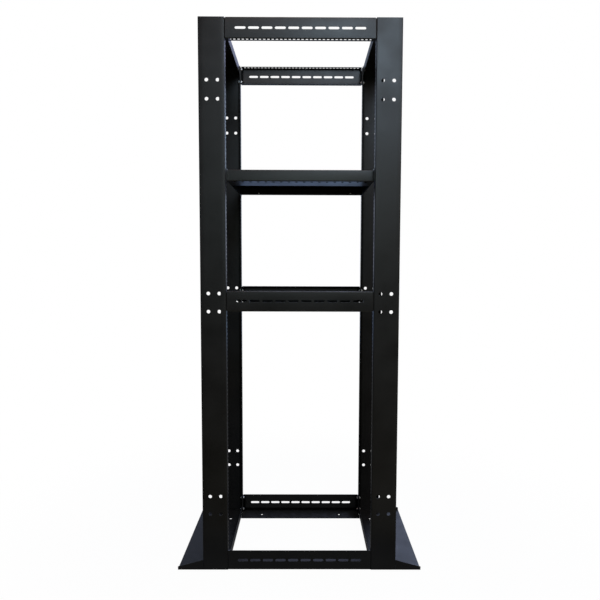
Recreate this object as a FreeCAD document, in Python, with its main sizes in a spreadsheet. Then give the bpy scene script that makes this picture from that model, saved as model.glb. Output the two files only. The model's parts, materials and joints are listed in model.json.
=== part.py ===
import FreeCAD
import Part
import Sketcher
import math
import os

# Four-post open frame rack, in millimetres, +Z up.
# The origin is on the floor, midway between the four posts.
# Equipment enters along X: the front posts stand at -X and the rear posts at +X.
# The right side of the rack is at -Y and the left side at +Y.

# Driving dimensions: alias, value or formula, and meaning
SIZES = [
    ("rack_height", 2133.6, "floor to post tops"),
    ("rack_depth", 767.0, "over the outer post flanges, along X"),
    ("hole_span", 465.1, "between left and right hole lines"),
    ("hole_inset", 24.625, "post web face to the hole line"),
    ("hole_edge", 7.125, "hole line to the free edge of the post flange"),
    ("hole_side", 9.5, "side of a square equipment hole"),
    ("rack_width", "=hole_span + 2 * hole_inset", "over the post webs, along Y"),
    ("unit_height", 44.45, "height of one equipment unit"),
    ("unit_margin", 66.675, "post end to the nearest equipment unit"),
    ("rack_units", "=round((rack_height - 2 * unit_margin) / unit_height)", "units on each post"),
    ("hole_first", "=unit_height / 7", "unit floor to its lowest hole"),
    ("hole_step", "=unit_height * 5 / 14", "between the holes of one unit"),
    ("post_web", 99.0, "width of a post web"),
    ("post_flange", "=hole_inset + hole_edge", "depth of a post flange"),
    ("post_sheet", 2.5, "post sheet thickness"),
    ("fold_ease", 2.0, "flat that eases a folded corner"),
    ("web_hole_width", 14.0, "width of a post web hole"),
    ("web_hole_inset", 31.0, "outer flange to the first column of web holes"),
    ("web_hole_pitch", 40.0, "between web hole columns"),
    ("web_hole_rise", 70.0, "between web hole rows"),
    ("web_group_inset", 264.0, "post end to the middle of a web hole group"),
    ("web_groups", 3, "web hole groups on each post"),
    ("bar_length", "=rack_depth - 2 * post_web", "side bar, from post to post"),
    ("bar_height", 78.5, "height of a side bar"),
    ("bar_flange", 22.0, "depth of a side bar flange and end tab"),
    ("bar_sheet", 2.5, "side bar sheet thickness"),
    ("middle_bar_centre", 1071.5, "floor to the middle of the middle side bars"),
    ("slot_pitch", 50.0, "between slot centres"),
    ("slot_length", 41.0, "length of a slot"),
    ("slot_width", 10.0, "width of a slot"),
    ("slot_margin", 34.5, "bar end to the row of slots"),
    ("slot_count", "=round((bar_length - 2 * slot_margin) / slot_pitch)", "slots in each bar"),
    ("floor_flange", 90.0, "depth of a bottom bar floor flange"),
    ("bar_anchor_margin", 97.5, "bar end to a floor flange hole"),
    ("bar_anchor_inset", 53.5, "bar face to a floor flange hole"),
    ("bar_anchor_width", 11.0, "diameter of a floor flange hole"),
    ("crossmember_flange", 35.0, "depth of a top crossmember flange"),
    ("crossmember_sheet", 2.5, "top crossmember sheet thickness"),
    ("base_sheet", 2.5, "base foot plate thickness"),
    ("base_reach", 100.0, "base foot beyond the posts"),
    ("base_flange", 35.0, "height of the inner base flange"),
    ("anchor_inset", 96.0, "post face to a floor anchor hole, along Y"),
    ("anchor_offset", 50.5, "outer post face to a floor anchor hole, along X"),
    ("anchor_width", 11.0, "diameter of a floor anchor hole"),
    ("gusset_height", 38.0, "gusset height beside the post"),
    ("gusset_tip", 10.0, "gusset height at the foot's tip"),
    ("gusset_sheet", 2.5, "gusset thickness"),
    ("shelf_unit", 34, "equipment unit that the shelf hangs in, counted from the floor"),
    ("shelf_lift", 2.7, "floor of that unit to the underside of the shelf"),
    ("shelf_height", 44.4, "height of the shelf lip and brackets"),
    ("shelf_gap", 10.425, "post flange to the shelf edge, along Y"),
    ("shelf_depth", "=rack_width - 2 * (post_flange + shelf_gap)", "shelf tray, along Y"),
    ("shelf_sheet", 2.0, "shelf sheet thickness"),
    ("shelf_return", 118.0, "depth of the flange under the shelf lip"),
    ("shelf_rear_lip", 40.8, "height of the lip at the far edge of the shelf"),
    ("bracket_sheet", 2.5, "shelf bracket thickness"),
    ("bracket_overlap", 8.75, "hole line to a shelf bracket end"),
    ("bracket_width", "=hole_span + 2 * bracket_overlap", "shelf bracket, along Y"),
    ("shelf_length", "=bar_length - 2 * bracket_sheet", "shelf tray, along X"),
    ("vent_pitch", 30.0, "between vent centres"),
    ("vent_width", 10.0, "vent width, along X"),
    ("vent_length", 24.0, "vent length, along Y"),
    ("vent_inset", 8.0, "shelf lip face to the vents"),
    ("vent_margin", 12.0, "shelf end to the row of vents"),
    ("vent_count", "=round((shelf_length - 2 * vent_margin) / vent_pitch)", "vents in the flange"),
]

PLAIN_HOLE_SIDES = 6
LEAST_CUT = 1.0
SAME_DIRECTION = 1e-6
SAME_PLACE = 1e-4
HALF_DEPTH = "Sizes.rack_depth / 2"
HALF_WIDTH = "Sizes.rack_width / 2"
POST_INNER = "(Sizes.rack_depth / 2 - Sizes.post_web)"
UNIT_FLOOR = "((Sizes.rack_height - Sizes.rack_units * Sizes.unit_height) / 2)"
SHELF_FLOOR = f"({UNIT_FLOOR} + (Sizes.shelf_unit - 1) * Sizes.unit_height + Sizes.shelf_lift)"

doc = FreeCAD.newDocument("four_post_rack")
sheet = doc.addObject("Spreadsheet::Sheet", "Sizes")
for row, (alias, size, meaning) in enumerate(SIZES, start=1):
    sheet.set(f"A{row}", meaning)
    sheet.set(f"B{row}", str(size))
    sheet.setAlias(f"B{row}", alias)
doc.recompute()


# Helpers for sketches and features

def number(expression):
    """The present value of an expression over the sheet."""
    return float(sheet.evalExpression(expression.replace("Sizes.", "")))


def origin_feature(body, role):
    """One of the body's own origin planes or axes."""
    return next(item for item in body.Origin.OriginFeatures if item.Role == role)


def new_body(name, x, y, z):
    """An empty body whose place is three expressions."""
    body = doc.addObject("PartDesign::Body", name)
    body.Label = name
    for axis, expression in zip("xyz", (x, y, z)):
        body.setExpression(f"Placement.Base.{axis}", expression)
    return body


def new_sketch(body, plane, name, offset="0"):
    """A sketch on an origin plane of the body, moved along the plane's normal."""
    sketch = body.newObject("Sketcher::SketchObject", name)
    sketch.AttachmentSupport = [(origin_feature(body, plane), "")]
    sketch.MapMode = "FlatFace"
    sketch.setExpression("AttachmentOffset.Base.z", offset)
    return sketch


def hold_point(sketch, geometry, position, kind, axis, expression):
    """Hold one coordinate of a sketch point at an expression."""
    if expression == "0":
        sketch.addConstraint(Sketcher.Constraint("PointOnObject", geometry, position, axis))
        return
    constraint = Sketcher.Constraint(kind, -1, 1, geometry, position, number(expression))
    index = sketch.addConstraint(constraint)
    sketch.setExpression(f"Constraints[{index}]", expression)


def outline(sketch, corners):
    """A closed outline of straight lines through corners given as pairs of expressions."""
    points = [FreeCAD.Vector(number(u), number(v), 0) for u, v in corners]
    first = sketch.GeometryCount
    count = len(points)
    for step in range(count):
        sketch.addGeometry(Part.LineSegment(points[step], points[(step + 1) % count]))
    for step in range(count):
        after = first + (step + 1) % count
        sketch.addConstraint(Sketcher.Constraint("Coincident", first + step, 2, after, 1))
    for step, (u, v) in enumerate(corners):
        hold_point(sketch, first + step, 1, "DistanceX", -2, u)
        hold_point(sketch, first + step, 1, "DistanceY", -1, v)


def rectangle(sketch, left, low, width, height):
    """A rectangle from its low left corner, width and height."""
    right = f"({left}) + ({width})"
    high = f"({low}) + ({height})"
    outline(sketch, [(left, low), (right, low), (right, high), (left, high)])


def plain_hole(sketch, across, up, width):
    """A few-sided hole whose corners lie on a circle of the given width."""
    corners = []
    for step in range(PLAIN_HOLE_SIDES):
        turn = 2 * math.pi * step / PLAIN_HOLE_SIDES
        corners.append((f"({across}) + {width} / 2 * {math.cos(turn):.9f}",
                        f"({up}) + {width} / 2 * {math.sin(turn):.9f}"))
    outline(sketch, corners)


def round_hole(sketch, across, up, width):
    """A round hole with its centre held by expressions."""
    centre = FreeCAD.Vector(number(across), number(up), 0)
    circle = Part.Circle(centre, FreeCAD.Vector(0, 0, 1), number(width) / 2)
    index = sketch.addGeometry(circle)
    hold_point(sketch, index, 3, "DistanceX", -2, across)
    hold_point(sketch, index, 3, "DistanceY", -1, up)
    size = sketch.addConstraint(Sketcher.Constraint("Diameter", index, number(width)))
    sketch.setExpression(f"Constraints[{size}]", width)


def pad(body, sketch, name, length):
    """Raise a sketch along its normal."""
    feature = body.newObject("PartDesign::Pad", name)
    feature.Profile = sketch
    feature.setExpression("Length", length)
    doc.recompute()
    return feature


def pocket(body, sketch, name, depth, reverse):
    """Cut a sketch into the body, and make sure that it takes something away."""
    before = body.Shape.Volume
    feature = body.newObject("PartDesign::Pocket", name)
    feature.Profile = sketch
    feature.Reversed = reverse
    feature.setExpression("Length", depth)
    doc.recompute()
    if body.Shape.Volume > before - LEAST_CUT:
        raise RuntimeError(f"{name} cuts nothing")
    return feature


def pattern(body, feature, name, axis, span, count):
    """Repeat a feature evenly along one of the body's axes."""
    row = body.newObject("PartDesign::LinearPattern", name)
    row.Originals = [feature]
    row.Direction = (origin_feature(body, axis), [""])
    row.setExpression("Length", span)
    row.setExpression("Occurrences", count)
    body.Tip = row
    doc.recompute()
    return row


def edges_along(shape, direction, places):
    """Names of the straight edges along a direction, one through each of the given places."""
    names = []
    for index, edge in enumerate(shape.Edges, start=1):
        if not isinstance(edge.Curve, Part.Line):
            continue
        if abs(abs(edge.tangentAt(edge.FirstParameter).dot(direction)) - 1) > SAME_DIRECTION:
            continue
        middle = edge.CenterOfMass
        for place in places:
            gap = middle - place
            gap = gap - direction * gap.dot(direction)
            if gap.Length < SAME_PLACE:
                names.append(f"Edge{index}")
    if len(names) != len(places):
        raise RuntimeError(f"found {len(names)} edges for {len(places)} folds")
    return names


def ease_folds(body, base, name, names):
    """Ease the outer corners of a bent sheet with a flat along each fold."""
    feature = body.newObject("PartDesign::Chamfer", name)
    feature.Base = (base, names)
    feature.setExpression("Size", "Sizes.fold_ease")
    doc.recompute()
    return feature


def mirror(source, label, normal):
    """The same piece on the other side of the rack."""
    copy = doc.addObject("Part::Mirroring", label)
    copy.Label = label
    copy.Source = source
    copy.Base = FreeCAD.Vector(0, 0, 0)
    copy.Normal = normal
    return copy


ALONG_X = FreeCAD.Vector(1, 0, 0)
ALONG_Y = FreeCAD.Vector(0, 1, 0)
ALONG_Z = FreeCAD.Vector(0, 0, 1)


# Posts: a folded channel with square equipment holes and groups of web holes

def make_post(name):
    body = new_body(name, f"-{HALF_DEPTH}", f"-{HALF_WIDTH}", "Sizes.base_sheet")
    web = "Sizes.post_web"
    flange = "Sizes.post_flange"
    thick = "Sizes.post_sheet"
    section = new_sketch(body, "XY_Plane", f"{name}_section")
    outline(section, [
        ("0", "0"),
        (web, "0"),
        (web, flange),
        (f"{web} - {thick}", flange),
        (f"{web} - {thick}", thick),
        (thick, thick),
        (thick, flange),
        ("0", flange),
    ])
    channel = pad(body, section, f"{name}_channel", "Sizes.rack_height - Sizes.base_sheet")
    corners = [FreeCAD.Vector(0, 0, 0), FreeCAD.Vector(number(web), 0, 0)]
    ease_folds(body, channel, f"{name}_folds", edges_along(channel.Shape, ALONG_Z, corners))

    group = new_sketch(body, "XZ_Plane", f"{name}_web_hole_group")
    for column in range(2):
        for line in (-0.5, 0.5):
            across = f"Sizes.web_hole_inset + {column} * Sizes.web_hole_pitch"
            up = f"Sizes.web_group_inset - Sizes.base_sheet + {line} * Sizes.web_hole_rise"
            plain_hole(group, across, up, "Sizes.web_hole_width")
    cut = pocket(body, group, f"{name}_web_holes", thick, False)
    span = "Sizes.rack_height - 2 * Sizes.web_group_inset"
    pattern(body, cut, f"{name}_web_hole_rows", "Z_Axis", span, "Sizes.web_groups")

    unit = new_sketch(body, "YZ_Plane", f"{name}_unit_holes")
    inset = "Sizes.hole_inset - Sizes.hole_side / 2"
    lowest = f"{UNIT_FLOOR} - Sizes.base_sheet + Sizes.hole_first - Sizes.hole_side / 2"
    for step in range(3):
        up = f"{lowest} + {step} * Sizes.hole_step"
        rectangle(unit, inset, up, "Sizes.hole_side", "Sizes.hole_side")
    cut = pocket(body, unit, f"{name}_one_unit", thick, True)
    span = "(Sizes.rack_units - 1) * Sizes.unit_height"
    pattern(body, cut, f"{name}_all_units", "Z_Axis", span, "Sizes.rack_units")
    return body


# Side bars at the top and the middle: a folded channel with end tabs and a row of slots

def slot_row(body, name):
    """The row of slots along the middle of a bar's face."""
    span = "(Sizes.slot_count - 1) * Sizes.slot_pitch"
    left = f"(Sizes.bar_length - {span} - Sizes.slot_length) / 2"
    low = "(Sizes.bar_height - Sizes.slot_width) / 2"
    sketch = new_sketch(body, "XZ_Plane", f"{name}_slot")
    rectangle(sketch, left, low, "Sizes.slot_length", "Sizes.slot_width")
    cut = pocket(body, sketch, f"{name}_first_slot", "Sizes.bar_sheet", False)
    pattern(body, cut, f"{name}_slots", "X_Axis", span, "Sizes.slot_count")


def make_channel_bar(name, floor):
    body = new_body(name, f"-{POST_INNER}", f"-{HALF_WIDTH}", floor)
    plan = new_sketch(body, "XY_Plane", f"{name}_plan")
    rectangle(plan, "0", "0", "Sizes.bar_length", "Sizes.bar_flange")
    block = pad(body, plan, f"{name}_block", "Sizes.bar_height")
    back = max(range(6), key=lambda index: block.Shape.Faces[index].CenterOfMass.y)
    hollow = body.newObject("PartDesign::Thickness", f"{name}_hollow")
    hollow.Base = (block, [f"Face{back + 1}"])
    hollow.Reversed = True
    hollow.setExpression("Value", "Sizes.bar_sheet")
    doc.recompute()
    lengthwise = [FreeCAD.Vector(0, 0, 0), FreeCAD.Vector(0, 0, number("Sizes.bar_height"))]
    upright = [FreeCAD.Vector(0, 0, 0), FreeCAD.Vector(number("Sizes.bar_length"), 0, 0)]
    names = edges_along(hollow.Shape, ALONG_X, lengthwise) + edges_along(hollow.Shape, ALONG_Z, upright)
    ease_folds(body, hollow, f"{name}_folds", names)
    slot_row(body, name)
    return body


# Bottom side bars: an angle with a wide floor flange, end tabs and a row of slots

def make_bottom_bar(name):
    body = new_body(name, f"-{POST_INNER}", f"-{HALF_WIDTH}", "0")
    thick = "Sizes.bar_sheet"
    section = new_sketch(body, "YZ_Plane", f"{name}_section")
    outline(section, [
        ("0", "0"),
        ("Sizes.floor_flange", "0"),
        ("Sizes.floor_flange", thick),
        (thick, thick),
        (thick, "Sizes.bar_height"),
        ("0", "Sizes.bar_height"),
    ])
    angle = pad(body, section, f"{name}_angle", "Sizes.bar_length")
    corner = [FreeCAD.Vector(0, 0, 0)]
    ease_folds(body, angle, f"{name}_fold", edges_along(angle.Shape, ALONG_X, corner))
    for end, offset in (("front", "0"), ("rear", f"Sizes.bar_length - {thick}")):
        tab = new_sketch(body, "YZ_Plane", f"{name}_{end}_tab", offset)
        rectangle(tab, thick, thick, f"Sizes.bar_flange - {thick}", f"Sizes.bar_height - {thick}")
        pad(body, tab, f"{name}_{end}_tab_pad", thick)
    slot_row(body, name)
    holes = new_sketch(body, "XY_Plane", f"{name}_anchor_holes")
    for across in ("Sizes.bar_anchor_margin", "Sizes.bar_length - Sizes.bar_anchor_margin"):
        round_hole(holes, across, "Sizes.bar_anchor_inset", "Sizes.bar_anchor_width")
    pocket(body, holes, f"{name}_anchors", thick, True)
    return body


# Top crossmembers: a folded channel, open below, between the post webs

def make_crossmember(name):
    thick = "Sizes.crossmember_sheet"
    depth = "Sizes.crossmember_flange"
    width = "(Sizes.post_web - 2 * Sizes.post_sheet)"
    floor = f"Sizes.rack_height - {depth}"
    body = new_body(name, f"-{HALF_DEPTH} + Sizes.post_sheet", f"{HALF_WIDTH} - Sizes.post_sheet", floor)
    section = new_sketch(body, "XZ_Plane", f"{name}_section")
    outline(section, [
        ("0", "0"),
        (thick, "0"),
        (thick, f"{depth} - {thick}"),
        (f"{width} - {thick}", f"{depth} - {thick}"),
        (f"{width} - {thick}", "0"),
        (width, "0"),
        (width, depth),
        ("0", depth),
    ])
    channel = pad(body, section, f"{name}_channel", "Sizes.rack_width - 2 * Sizes.post_sheet")
    high = number(depth)
    corners = [FreeCAD.Vector(0, 0, high), FreeCAD.Vector(number(width), 0, high)]
    ease_folds(body, channel, f"{name}_folds", edges_along(channel.Shape, ALONG_Y, corners))
    return body


# Base feet: a floor plate under two posts, with an upright flange between them on its inner edge

def make_foot(name):
    body = new_body(name, f"-{HALF_DEPTH} - Sizes.base_reach", f"-{HALF_WIDTH}", "0")
    inner = "(Sizes.base_reach + Sizes.post_web)"
    plan = new_sketch(body, "XY_Plane", f"{name}_plan")
    rectangle(plan, "0", "0", inner, "Sizes.rack_width")
    pad(body, plan, f"{name}_plate", "Sizes.base_sheet")
    edge = new_sketch(body, "XY_Plane", f"{name}_flange_plan")
    rectangle(edge, f"{inner} - Sizes.base_sheet", "Sizes.post_flange", "Sizes.base_sheet",
              "Sizes.rack_width - 2 * Sizes.post_flange")
    pad(body, edge, f"{name}_flange", "Sizes.base_flange")
    holes = new_sketch(body, "XY_Plane", f"{name}_anchor_holes")
    across = "Sizes.base_reach + Sizes.anchor_offset"
    for up in ("Sizes.anchor_inset", "Sizes.rack_width - Sizes.anchor_inset"):
        round_hole(holes, across, up, "Sizes.anchor_width")
    pocket(body, holes, f"{name}_anchors", "Sizes.base_sheet", True)
    return body


# Base gussets: a tapered upright plate on the end of a foot, flush with the post web

def make_gusset(name):
    body = new_body(name, f"-{HALF_DEPTH}", f"-{HALF_WIDTH} + Sizes.gusset_sheet", "Sizes.base_sheet")
    body.Placement.Rotation = FreeCAD.Rotation(ALONG_Z, 180)
    face = new_sketch(body, "XZ_Plane", f"{name}_face")
    outline(face, [
        ("0", "0"),
        ("Sizes.base_reach", "0"),
        ("Sizes.base_reach", "Sizes.gusset_tip"),
        ("0", "Sizes.gusset_height"),
    ])
    plate = pad(body, face, f"{name}_plate", "Sizes.gusset_sheet")
    plate.Reversed = True
    return body


# Shelf: one bent sheet with a vented flange under its lip, held by two end brackets

def make_shelf_tray(name):
    body = new_body(name, "-Sizes.shelf_length / 2", "-Sizes.shelf_depth / 2", SHELF_FLOOR)
    thick = "Sizes.shelf_sheet"
    deep = "Sizes.shelf_depth"
    high = "Sizes.shelf_height"
    section = new_sketch(body, "YZ_Plane", f"{name}_section")
    outline(section, [
        ("0", "0"),
        ("Sizes.shelf_return", "0"),
        ("Sizes.shelf_return", thick),
        (thick, thick),
        (thick, f"{high} - {thick}"),
        (f"{deep} - {thick}", f"{high} - {thick}"),
        (f"{deep} - {thick}", f"{high} - Sizes.shelf_rear_lip"),
        (deep, f"{high} - Sizes.shelf_rear_lip"),
        (deep, high),
        ("0", high),
    ])
    tray = pad(body, section, f"{name}_sheet", "Sizes.shelf_length")
    top = number(high)
    back = number(deep)
    corners = [FreeCAD.Vector(0, 0, 0), FreeCAD.Vector(0, 0, top), FreeCAD.Vector(0, back, top)]
    ease_folds(body, tray, f"{name}_folds", edges_along(tray.Shape, ALONG_X, corners))
    vents = new_sketch(body, "XY_Plane", f"{name}_vent")
    span = "(Sizes.vent_count - 1) * Sizes.vent_pitch"
    left = f"(Sizes.shelf_length - {span} - Sizes.vent_width) / 2"
    rectangle(vents, left, "Sizes.vent_inset", "Sizes.vent_width", "Sizes.vent_length")
    cut = pocket(body, vents, f"{name}_first_vent", thick, True)
    pattern(body, cut, f"{name}_vents", "X_Axis", span, "Sizes.vent_count")
    return body


def make_shelf_bracket(name):
    body = new_body(name, f"-{POST_INNER}", "-Sizes.bracket_width / 2", SHELF_FLOOR)
    face = new_sketch(body, "YZ_Plane", f"{name}_face")
    rectangle(face, "0", "0", "Sizes.bracket_width", "Sizes.shelf_height")
    pad(body, face, f"{name}_plate", "Sizes.bracket_sheet")
    return body


# Assemble: one of each piece, then its mirror images

pieces = []

post = make_post("post_front_right")
post_rear = mirror(post, "post_rear_right", ALONG_X)
pieces += [post, post_rear]
pieces.append(mirror(post, "post_front_left", ALONG_Y))
pieces.append(mirror(post_rear, "post_rear_left", ALONG_Y))

middle_floor = "Sizes.middle_bar_centre - Sizes.bar_height / 2"
top_bar = make_channel_bar("top_side_bar_right", "Sizes.rack_height - Sizes.bar_height")
middle_bar = make_channel_bar("middle_side_bar_right", middle_floor)
bottom_bar = make_bottom_bar("bottom_side_bar_right")
for bar, label in ((top_bar, "top_side_bar_left"),
                   (middle_bar, "middle_side_bar_left"),
                   (bottom_bar, "bottom_side_bar_left")):
    pieces += [bar, mirror(bar, label, ALONG_Y)]

for maker, label in ((make_crossmember, "top_crossmember"),
                     (make_foot, "base_foot"),
                     (make_shelf_bracket, "shelf_bracket")):
    front = maker(f"{label}_front")
    pieces += [front, mirror(front, f"{label}_rear", ALONG_X)]

gusset = make_gusset("base_gusset_front_right")
gusset_rear = mirror(gusset, "base_gusset_rear_right", ALONG_X)
pieces += [gusset, gusset_rear]
pieces.append(mirror(gusset, "base_gusset_front_left", ALONG_Y))
pieces.append(mirror(gusset_rear, "base_gusset_rear_left", ALONG_Y))

pieces.append(make_shelf_tray("shelf_tray"))
doc.recompute()

# Check every object and every shape, then write one file for each piece

for item in doc.Objects:
    if "Invalid" in item.State or "Error" in item.State:
        raise RuntimeError(f"{item.Label} failed: {item.State}")
for piece in pieces:
    if piece.Shape.isNull() or not piece.Shape.isValid():
        raise RuntimeError(f"{piece.Label} has no valid shape")
    if len(piece.Shape.Solids) != 1:
        raise RuntimeError(f"{piece.Label} has {len(piece.Shape.Solids)} solids")

os.makedirs("parts", exist_ok=True)
for piece in pieces:
    piece.Shape.exportStep(f"parts/{piece.Label}.step")
    box = piece.Shape.BoundBox
    print(f"{piece.Label:26s} x {box.XMin:7.1f} {box.XMax:7.1f}  y {box.YMin:7.1f} {box.YMax:7.1f}"
          f"  z {box.ZMin:7.1f} {box.ZMax:7.1f}")
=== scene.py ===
# %% [markdown]
# # A four-post open frame rack in sheet steel
#
# The real rack is made of flat steel blanks. A press punches the holes, a brake folds the
# blank, the piece is powder coated black, and bolts hold the pieces together. This lesson works
# in that same order: it punches flat grids of points with numpy, folds them, and puts the result
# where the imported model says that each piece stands.

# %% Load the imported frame
import json
import math
from collections import namedtuple

import bpy
import numpy as np
from mathutils import Matrix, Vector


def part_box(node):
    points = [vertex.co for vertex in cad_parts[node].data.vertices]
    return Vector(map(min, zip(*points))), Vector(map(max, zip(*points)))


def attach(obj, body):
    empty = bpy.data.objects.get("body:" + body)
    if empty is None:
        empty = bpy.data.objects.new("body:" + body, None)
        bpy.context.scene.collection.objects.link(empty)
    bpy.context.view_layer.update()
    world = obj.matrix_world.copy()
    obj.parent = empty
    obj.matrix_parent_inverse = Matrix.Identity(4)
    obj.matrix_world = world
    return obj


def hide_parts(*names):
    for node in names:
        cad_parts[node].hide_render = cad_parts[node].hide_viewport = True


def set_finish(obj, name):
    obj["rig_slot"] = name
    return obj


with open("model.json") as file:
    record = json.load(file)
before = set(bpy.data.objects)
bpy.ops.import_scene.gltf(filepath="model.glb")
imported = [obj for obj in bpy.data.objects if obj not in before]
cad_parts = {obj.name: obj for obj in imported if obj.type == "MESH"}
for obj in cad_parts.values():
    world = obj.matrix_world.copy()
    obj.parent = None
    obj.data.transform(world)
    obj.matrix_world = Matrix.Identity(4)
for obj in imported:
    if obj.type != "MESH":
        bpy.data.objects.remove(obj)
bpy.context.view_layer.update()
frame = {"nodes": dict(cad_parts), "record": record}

# %% [markdown]
# The lesson counts in millimetres, as a sheet metal drawing does, and turns to metres only when a
# mesh is made. A few sizes are the shop's own: the sheet and the radius of a bend. Where a piece
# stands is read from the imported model.

# %% Shop sizes
METRE = 0.001
SHEET = 2.5
BEND = 3.5
BEND_MIDDLE = BEND - SHEET / 2
QUARTER = math.pi / 2
BEND_ARC = BEND_MIDDLE * QUARTER


def node_box(node):
    """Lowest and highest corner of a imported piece, in millimetres."""
    low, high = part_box(node)
    return np.array(low) / METRE, np.array(high) / METRE


post_low, post_high = node_box("post_front_right")
print("A post stands from", post_low.round(1), "to", post_high.round(1))

# %% [markdown]
# ## Punching a flat blank
#
# A blank is a grid with two parameters: s runs across the folds and t along them. Grid lines are
# laid exactly on the edges of the holes, so a square hole is simply cells that are left out. A
# boolean modifier could cut the holes too, but it leaves long thin triangles, and hundreds of cuts
# are slow. With whole arrays the same work takes milliseconds.

# %% Lay grid lines beside the holes
ARC_STEPS = 6
MARGIN = 1.5
Punch = namedtuple("Punch", "across along half_across half_along rounded")


def punch(across, along, half_across, half_along, rounded=False):
    """A family of like holes at every crossing of the across and along places."""
    return Punch(np.atleast_1d(across), np.atleast_1d(along), half_across, half_along, rounded)


def round_holes(across, along, radius):
    """A family of round holes: as wide as long, with rounded ends."""
    return punch(across, along, radius, radius, True)


def end_radius(hole):
    """Radius of a hole's rounded ends: half its shorter side."""
    return min(hole.half_across, hole.half_along)


def punch_lines(centres, half, radius):
    """Grid lines beside a row of holes; radius is None for square holes.

    A rounded hole gets lines at radius * tan(angle) for even angles, so that the points are
    evenly spaced once they are pushed onto the circle.
    """
    offsets = np.array([-half, half])
    if radius is not None:
        arc = radius * np.tan(np.linspace(0, math.pi / 4, ARC_STEPS // 2 + 1))
        arc = np.append(arc, radius * MARGIN) + half - radius
        offsets = np.concatenate([-arc, arc])
    return (centres[:, None] + offsets).ravel()


print("A round hole gets", 4 * ARC_STEPS, "sides")

# %% [markdown]
# Round holes and slots need one more step. The ring of points round a square hole is pushed onto
# a circle, and the push fades out over a small margin, so the grid stays regular everywhere else.

# %% Round the holes
NEARLY_ZERO = 1e-9


def slot_offset(place, centres, straight):
    """Signed distance to the nearest hole's straight middle part, which counts as zero."""
    nearest = centres[np.abs(place[..., None] - centres).argmin(-1)]
    gap = place - nearest
    return gap - np.clip(gap, -straight, straight)


def round_off(s, t, hole):
    """Push square rings of points onto circles.

    A point at square distance c (the larger of its two offsets) and at true distance e from the
    hole's centre moves towards true distance c: fully on the hole's edge, not at all at the
    margin.
    """
    radius = end_radius(hole)
    reach = radius * MARGIN
    ds = slot_offset(s, hole.across, hole.half_across - radius)
    dt = slot_offset(t, hole.along, hole.half_along - radius)
    square = np.maximum(np.abs(ds), np.abs(dt))
    true = np.maximum(np.hypot(ds, dt), NEARLY_ZERO)
    push = np.clip((reach - square) / (reach - radius), 0, 1) * (square / true - 1)
    return s + ds * push, t + dt * push


pushed = round_off(np.ones(1), np.ones(1), round_holes(0.0, 0.0, 1.0))
print("A corner at (1, 1) moves to distance", np.hypot(*pushed).round(3))

# %% [markdown]
# Then the punch comes down: the edges of all holes become grid lines, the cells inside a hole are
# marked as empty, and the points round each rounded hole are pushed into place.

# %% Punch the blank
LINE_DIGITS = 4


def punch_blank(s_lines, t_lines, holes):
    """Grid points s, t of a flat blank, and which of its cells are solid after punching."""
    s_ends, t_ends = s_lines[:2], t_lines[:2]
    for hole in holes:
        radius = end_radius(hole) if hole.rounded else None
        s_lines = np.append(s_lines, punch_lines(hole.across, hole.half_across, radius))
        t_lines = np.append(t_lines, punch_lines(hole.along, hole.half_along, radius))
    s_lines = np.unique(np.clip(s_lines, *s_ends).round(LINE_DIGITS))
    t_lines = np.unique(np.clip(t_lines, *t_ends).round(LINE_DIGITS))
    s, t = np.meshgrid(s_lines, t_lines, indexing="ij")
    s_middle = (s_lines[1:] + s_lines[:-1]) / 2
    t_middle = (t_lines[1:] + t_lines[:-1]) / 2
    solid = np.ones((len(s_middle), len(t_middle)), bool)
    for hole in holes:
        in_s = (np.abs(s_middle[:, None] - hole.across) < hole.half_across).any(1)
        in_t = (np.abs(t_middle[:, None] - hole.along) < hole.half_along).any(1)
        solid &= ~np.outer(in_s, in_t)
        if hole.rounded:
            s, t = round_off(s, t, hole)
    return s, t, solid


trial_ends = np.array([-10.0, 10.0])
_, _, trial_solid = punch_blank(trial_ends, trial_ends, [round_holes(0.0, 0.0, 5.0)])
print("A trial blank has", trial_solid.size, "cells, and its hole takes", (~trial_solid).sum())

# %% [markdown]
# ## Folding the blank
#
# A folded section is a list of straight runs joined by arcs. Walking along it, each run goes
# straight on and each arc turns the heading, so the place of every grid point follows from its s
# alone. A bend could also be made with Blender's Bevel modifier on a sharp corner, but then the
# lengths on the flat blank would not be the shop's.

# %% Fold a blank
BEND_STEPS = 6
Section = namedtuple("Section", "start heading runs turns")


def section_lines(section):
    """Both ends of the blank, then grid lines at each fold and through its arc.

    An arc is as long as the bend's middle radius times the angle that it turns.
    """
    ends = np.cumsum([0.0, section.runs[0]])
    inner = []
    for run, turn in zip(section.runs[1:], section.turns):
        arc = BEND_MIDDLE * abs(turn)
        inner.append(ends[-1] + np.linspace(0, arc, BEND_STEPS + 1))
        ends = np.append(ends, ends[-1] + arc + run)
    return np.concatenate([[0.0, ends[-1]], *inner])


def left_of(heading):
    """Unit vector to the left of a heading."""
    return np.stack([-np.sin(heading), np.cos(heading)], -1)


def fold(s, section):
    """Points and left-hand normals of the lengths s carried round a folded section.

    A straight run adds length times heading. An arc keeps its distance to a centre on the side
    that the heading turns to, while the heading grows with the length.
    """
    at = np.array(section.start, float)
    heading = section.heading
    begin = 0.0
    points = np.zeros(s.shape + (2,))
    normals = np.zeros(s.shape + (2,))
    for index, run in enumerate(section.runs):
        ahead = np.array([math.cos(heading), math.sin(heading)])
        here = (s >= begin)[..., None]
        points = np.where(here, at + (s - begin)[..., None] * ahead, points)
        normals = np.where(here, left_of(heading), normals)
        at = at + run * ahead
        begin += run
        if index == len(section.turns):
            break
        turn = section.turns[index]
        radius = math.copysign(BEND_MIDDLE, turn)
        centre = at + radius * left_of(heading)
        here = (s >= begin)[..., None]
        aside = left_of(heading + (s - begin) / radius)
        points = np.where(here, centre - radius * aside, points)
        normals = np.where(here, aside, normals)
        heading += turn
        at = centre - radius * left_of(heading)
        begin += BEND_MIDDLE * abs(turn)
    return points, normals


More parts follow.
